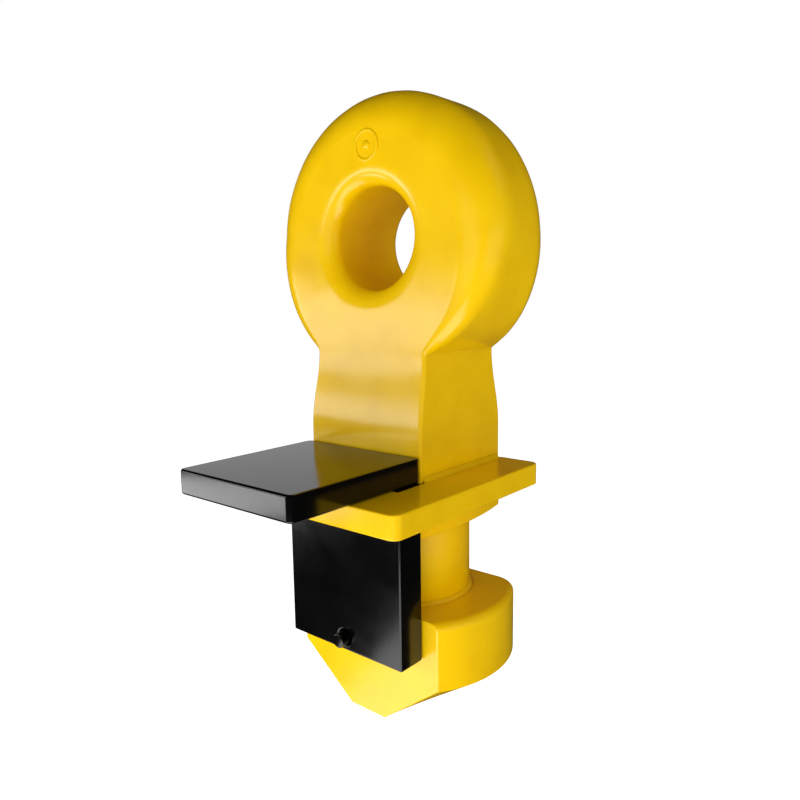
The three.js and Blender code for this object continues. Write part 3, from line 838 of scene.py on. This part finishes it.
def makeShankBead(radius):
    low, high = boxOf("shank_weld")
    leg = high.z - low.z + beadSize["gap"]
    count = round(2 * math.pi * radius / beadSize["step"] / 2) * 2
    route = []
    for i in range(count + 1):
        turn = 2 * math.pi * i / count
        outward = (math.cos(turn), math.sin(turn), 0)
        point = Vector(outward) * radius + Vector((0, 0, low.z - beadSize["gap"]))
        route.append((point, outward, (0, 0, 1), radius * turn, 1.0))
    bead = makeBead("shankBead", leg, route, beadSize["shankSeed"], beadPaint)
    for vertex in bead.data.vertices:  # ground flush with the head's front and back
        vertex.co.y = min(high.y * mm, max(low.y * mm, vertex.co.y))
    join(bead, "lug", "shank_weld")


def makeLockBead():
    low, high = boxOf("lock_weld")
    route = straightRoute(Vector((low.x, high.y, high.z)), Vector((high.x, high.y, high.z)),
                          (0, -1, 0), (0, 0, -1))
    bead = makeBead("lockBead", high.z - low.z, route, beadSize["lockSeed"], barPaint)
    join(bead, "lock", "lock_weld")


makeNeckBeads()
makeShankBead(shankSize["radius"])
makeLockBead()
print("weld beads made")


handleSize = {"corner": 2.5, "cornerSteps": 6, "edge": 0.9}


def makeLockHandle(size):
    low, high = boxOf("lock_handle")
    corner, steps = size["corner"], size["cornerSteps"]
    outline = arcPoints(high.x - corner, low.y + corner, corner, -90, 0, steps)
    outline += arcPoints(high.x - corner, high.y - corner, corner, 0, 90, steps)
    outline += arcPoints(low.x + corner, high.y - corner, corner, 90, 180, steps)
    outline += arcPoints(low.x + corner, low.y + corner, corner, 180, 270, steps)
    handle = pieceFrom("lockHandle", prism("lockHandle", outline, low.z, high.z), barPaint)
    softenEdges(handle, size["edge"])
    evenShading(handle)
    settle(handle)
    join(handle, "lock", "lock_handle")


tongueSize = {"edge": 0.9, "holeRadius": 3.3, "sink": 1.0, "segments": 64, "drillReach": 1.0}


def makeLockTongue(size):
    low, high = boxOf("lock_tongue")
    pinLow, pinHigh = boxOf("stop_pin")
    outline = [(low.x, low.y), (high.x, low.y), (high.x, high.y), (low.x, high.y)]
    tongue = pieceFrom("lockTongue", prism("lockTongue", outline, low.z, high.z), barPaint)
    softenEdges(tongue, size["edge"])
    hole, sink = size["holeRadius"], size["sink"]
    front, behind = -low.y, -high.y - size["drillReach"]
    drill = turned("pinDrill", [(0, behind), (hole, behind), (hole, front - sink),
                                (hole + 2 * sink, front + sink), (0, front + sink)],
                   size["segments"])
    drill = laidForward(drill, (pinLow.x + pinHigh.x) / 2, (pinLow.z + pinHigh.z) / 2)
    cutWith(tongue, [pieceFrom("pinDrill", drill)])
    evenShading(tongue)
    settle(tongue)
    join(tongue, "lock", "lock_tongue")


pinSize = {"radius": 3.0, "round": 0.6, "roundSteps": 5, "segments": 64}


def makeStopPin(size):
    low, high = boxOf("stop_pin")
    radius, rounding, steps = size["radius"], size["round"], size["roundSteps"]
    profile = [(0, -high.y)]
    profile += arcPoints(radius - rounding, -high.y + rounding, rounding, -90, 0, steps)
    profile += arcPoints(radius - rounding, -low.y - rounding, rounding, 0, 90, steps)
    profile.append((0, -low.y))
    mesh = turned("stopPin", profile, size["segments"])
    mesh = laidForward(mesh, (low.x + high.x) / 2, (low.z + high.z) / 2)
    pin = pieceFrom("stopPin", mesh, pinPaint)
    evenShading(pin)
    settle(pin)
    join(pin, "lock", "stop_pin")


makeLockHandle(handleSize)
makeLockTongue(tongueSize)
makeStopPin(pinSize)
print("lock plate made")


cameraSize = {"place": (194.2, -237.7, -23.4), "yaw": 39.75, "pitch": -8.22, "roll": -0.77,
              "lens": 32.0, "sensor": 36.0, "nearest": 10.0, "farthest": 50000.0}


def makeCamera(size):
    data = bpy.data.cameras.new("camera")
    data.lens = size["lens"]
    data.sensor_width = size["sensor"]
    data.clip_start = size["nearest"] * mm
    data.clip_end = size["farthest"] * mm
    camera = bpy.data.objects.new("camera", data)
    turn = (Matrix.Rotation(math.radians(size["yaw"]), 4, "Z")
            @ Matrix.Rotation(math.radians(90 + size["pitch"]), 4, "X")
            @ Matrix.Rotation(math.radians(size["roll"]), 4, "Z"))
    camera.matrix_world = Matrix.Translation(Vector(size["place"]) * mm) @ turn
    bpy.context.scene.collection.objects.link(camera)
    bpy.context.scene.camera = camera


# place and aim in mm from the bore's middle; glow is the panel's own brightness
lampSize = {
    "keyPanel": {"place": (-350, -400, -41), "aim": (0, -20, -41), "width": 420, "height": 98,
                 "glow": 4.0},
    "handlePanel": {"place": (-455, -365, -238), "aim": (0, -90, -90), "width": 300,
                    "height": 66, "glow": 4.8},
    "tablePanel": {"place": (60, -380, -450), "aim": (40, -180, 0), "width": 800, "height": 500,
                   "glow": 2.6},
    "sidePanel": {"place": (900, -80, -60), "aim": (0, 0, -60), "width": 800, "height": 480,
                  "glow": 2.3, "mirrored": False},
    "frontPanel": {"place": (200, -1000, 0), "aim": (0, 0, -60), "width": 900, "height": 600,
                   "glow": 2.5, "mirrored": False},
    "crownPanel": {"place": (500, 300, 500), "aim": (0, 0, 20), "width": 400, "height": 400,
                   "glow": 1.3, "mirrored": False},
    "farPanel": {"place": (-800, 600, 120), "aim": (0, 0, -90), "width": 500, "height": 400,
                 "glow": 0.65},
}
floorSize = {"drop": 250, "half": 6000, "colour": "F4F4F2", "roughness": 0.9, "glow": 1.0}
roomSize = {
    "ceiling": 0.10, "horizon": 0.34, "below": 0.36,  # the light that falls from each height
    "backdrop": 1.0,  # what the camera sees behind the object
    "mirrored": 0.06,  # the share of the room that gloss shows
    "ceilingFrom": 0.7, "belowFrom": -0.5,
}


def makeLamp(name, lamp):
    data = bpy.data.lights.new(name, "AREA")
    data.shape = "RECTANGLE"
    data.size = lamp["width"] * mm
    data.size_y = lamp["height"] * mm
    data.energy = lamp["glow"] * math.pi * data.size * data.size_y
    light = bpy.data.objects.new(name, data)
    place, aim = Vector(lamp["place"]) * mm, Vector(lamp["aim"]) * mm
    turn = (place - aim).to_track_quat("Z", "Y").to_matrix().to_4x4()
    light.matrix_world = Matrix.Translation(place) @ turn
    light.visible_camera = False
    light.visible_glossy = lamp.get("mirrored", True)
    bpy.context.scene.collection.objects.link(light)


def makeFloor(size):
    half = size["half"]
    height = cadLow.z / mm - size["drop"]
    corners = [(-half, -half, height), (half, -half, height), (half, half, height),
               (-half, half, height)]
    mesh = meshFrom("floor", corners, [[0, 1, 2, 3]])
    material = bpy.data.materials.new("lightTable")  # a white sheet lit from below
    material.use_nodes = True
    shader = material.node_tree.nodes["Principled BSDF"]
    shader.inputs["Base Color"].default_value = linearColour(size["colour"])
    shader.inputs["Roughness"].default_value = size["roughness"]
    shader.inputs["Emission Color"].default_value = (1, 1, 1, 1)
    shader.inputs["Emission Strength"].default_value = size["glow"]
    floor = pieceFrom("floor", mesh, material)
    floor.visible_glossy = False
    floor.visible_diffuse = False


def makeRoom(size):
    world = bpy.data.worlds.new("studio")
    bpy.context.scene.world = world
    world.use_nodes = True
    tree = world.node_tree
    tree.nodes.clear()
    place = addNode(tree, "ShaderNodeTexCoord", {}, {}).outputs["Generated"]
    height = addNode(tree, "ShaderNodeSeparateXYZ", {}, {"Vector": place}).outputs["Z"]
    upper = addNode(tree, "ShaderNodeMapRange", {"interpolation_type": "SMOOTHSTEP"}, {
        "Value": height, "From Min": 0.0, "From Max": size["ceilingFrom"],
        "To Min": size["horizon"], "To Max": size["ceiling"]})
    lower = addNode(tree, "ShaderNodeMapRange", {"interpolation_type": "SMOOTHSTEP"}, {
        "Value": height, "From Min": size["belowFrom"], "From Max": 0.0,
        "To Min": size["below"] - size["horizon"], "To Max": 0.0})
    glow = addNode(tree, "ShaderNodeMath", {"operation": "ADD"}, {0: upper, 1: lower})
    ray = addNode(tree, "ShaderNodeLightPath", {}, {})
    dimmed = addNode(tree, "ShaderNodeMath", {"operation": "MULTIPLY"}, {
        0: glow, 1: size["mirrored"]})
    seen = addNode(tree, "ShaderNodeMix", {"data_type": "FLOAT"}, {
        "Factor": ray.outputs["Is Glossy Ray"], "A": glow, "B": dimmed})
    strength = addNode(tree, "ShaderNodeMix", {"data_type": "FLOAT"}, {
        "Factor": ray.outputs["Is Camera Ray"], "A": seen, "B": size["backdrop"]})
    light = addNode(tree, "ShaderNodeBackground", {}, {
        "Color": (1, 1, 1, 1), "Strength": strength})
    addNode(tree, "ShaderNodeOutputWorld", {}, {"Surface": light})


makeCamera(cameraSize)
for name, lamp in lampSize.items():
    makeLamp(name, lamp)
makeFloor(floorSize)
makeRoom(roomSize)
bpy.context.scene.view_settings.view_transform = "Standard"
print("camera and light set")
